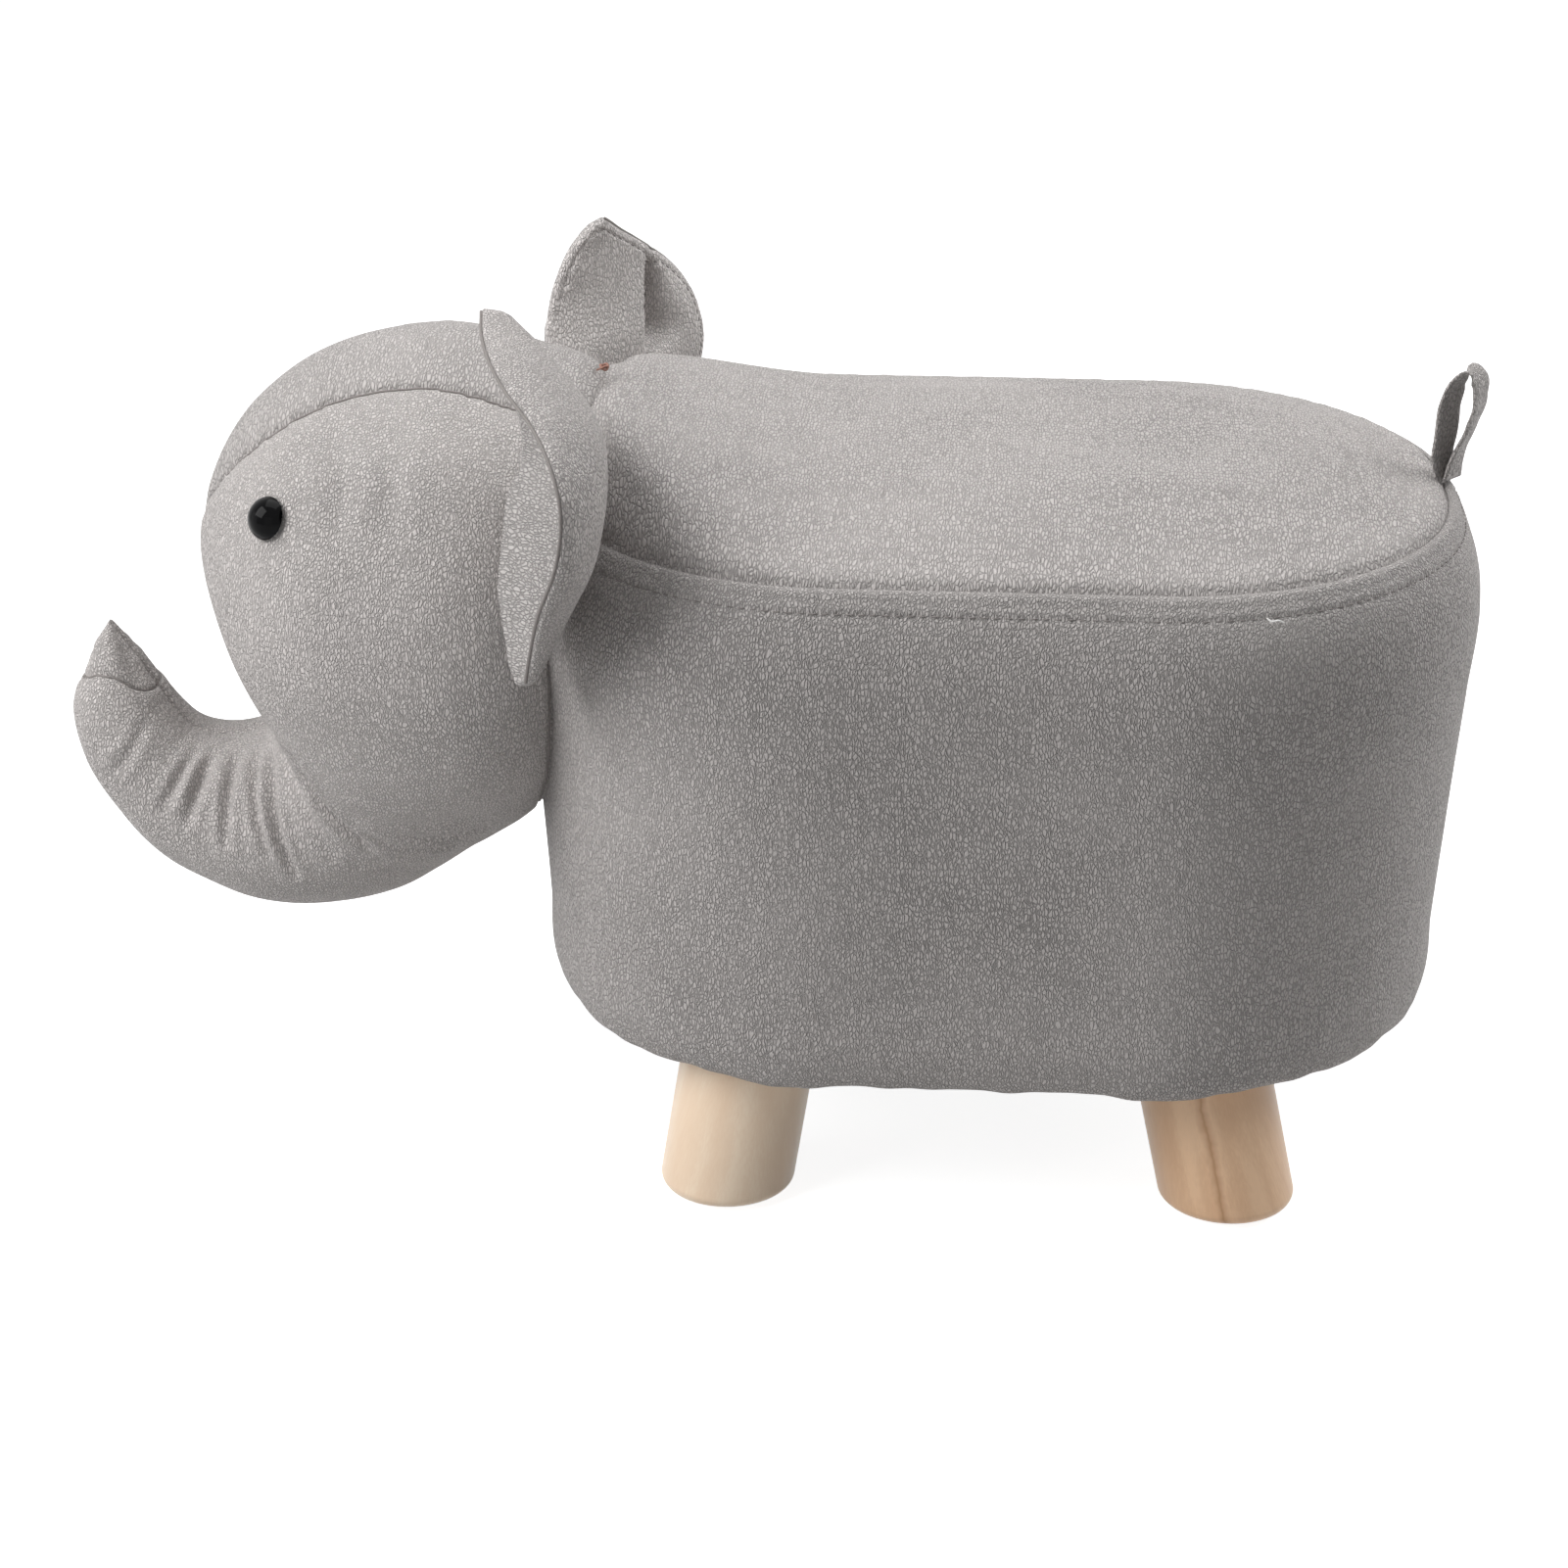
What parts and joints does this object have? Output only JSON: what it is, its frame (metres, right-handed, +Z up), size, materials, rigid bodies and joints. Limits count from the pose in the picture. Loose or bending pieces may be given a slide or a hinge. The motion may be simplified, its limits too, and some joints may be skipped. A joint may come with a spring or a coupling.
{
  "type": "footstool",
  "caption": "Upholstered elephant footstool: oval padded seat on splayed round wooden legs, stuffed head with a curled trunk, cupped fabric ears and a loop tail.",
  "frame": {"origin": "on the floor, under the middle of the whole footstool's length and width", "axes": "+Z up; -X towards the elephant's face; -Y towards the animal's left side"},
  "size_m": [0.5353, 0.2925, 0.3391],
  "materials": {
    "cover_fabric": "warm grey coated upholstery fabric with a fine pebble grain",
    "foam": "soft seat foam",
    "stuffing": "loose polyester fibre",
    "hardboard": "thin bent hardboard",
    "plywood": "raw plywood",
    "dust_cloth": "thin black non-woven cloth",
    "steel": "zinc plated",
    "pine": "clear satin over pale pine",
    "felt": "pressed felt",
    "eye_plastic": "glossy black",
    "washer_plastic": "natural white"
  },
  "bodies": {
    "body": {"side_cover": "cover_fabric", "seat_cover": "cover_fabric", "seat_foam": "foam", "side_foam": "foam", "side_wrap": "hardboard", "base_board": "plywood", "seat_board": "plywood", "front_cross_rib": "plywood", "rear_cross_rib": "plywood", "centre_spine": "plywood", "dust_cover": "dust_cloth", "board_screws": "steel", "tee_nuts": "steel", "leg_bolts": "steel", "leg_front_left": "pine", "leg_front_right": "pine", "leg_rear_left": "pine", "leg_rear_right": "pine", "foot_pad_front_left": "felt", "foot_pad_front_right": "felt", "foot_pad_rear_left": "felt", "foot_pad_rear_right": "felt", "head_gusset": "cover_fabric", "head_side_left": "cover_fabric", "head_side_right": "cover_fabric", "head_stuffing": "stuffing", "trunk_stuffing": "stuffing", "trunk_end_cap": "cover_fabric", "neck_bolster": "cover_fabric", "eye_left": "eye_plastic", "eye_right": "eye_plastic", "eye_washer_left": "washer_plastic", "eye_washer_right": "washer_plastic"},
    "ear_left": {"ear_left_front_panel": "cover_fabric", "ear_left_core": "cover_fabric", "ear_left_back_panel": "cover_fabric"},
    "ear_right": {"ear_right_front_panel": "cover_fabric", "ear_right_core": "cover_fabric", "ear_right_back_panel": "cover_fabric"},
    "tail": {"tail_loop": "cover_fabric"}
  },
  "joints": [
    {"name": "ear_left_hinge", "type": "hinge", "parent": "body", "child": "ear_left", "pos_m": [-0.0788, -0.07472, 0.26101], "axis": [0, 0.4695, 0.8829], "range_deg": [-45, 22], "stiffness_Nm_per_rad": 0.15},
    {"name": "ear_right_hinge", "type": "hinge", "parent": "body", "child": "ear_right", "pos_m": [-0.0788, 0.07472, 0.26101], "axis": [0, 0.4695, -0.8829], "range_deg": [-55, 12], "stiffness_Nm_per_rad": 0.15},
    {"name": "tail_hinge", "type": "hinge", "parent": "body", "child": "tail", "pos_m": [0.2533, 0.008, 0.25903], "axis": [0, 1, 0], "range_deg": [-60, 80], "stiffness_Nm_per_rad": 0.02}
  ]
}
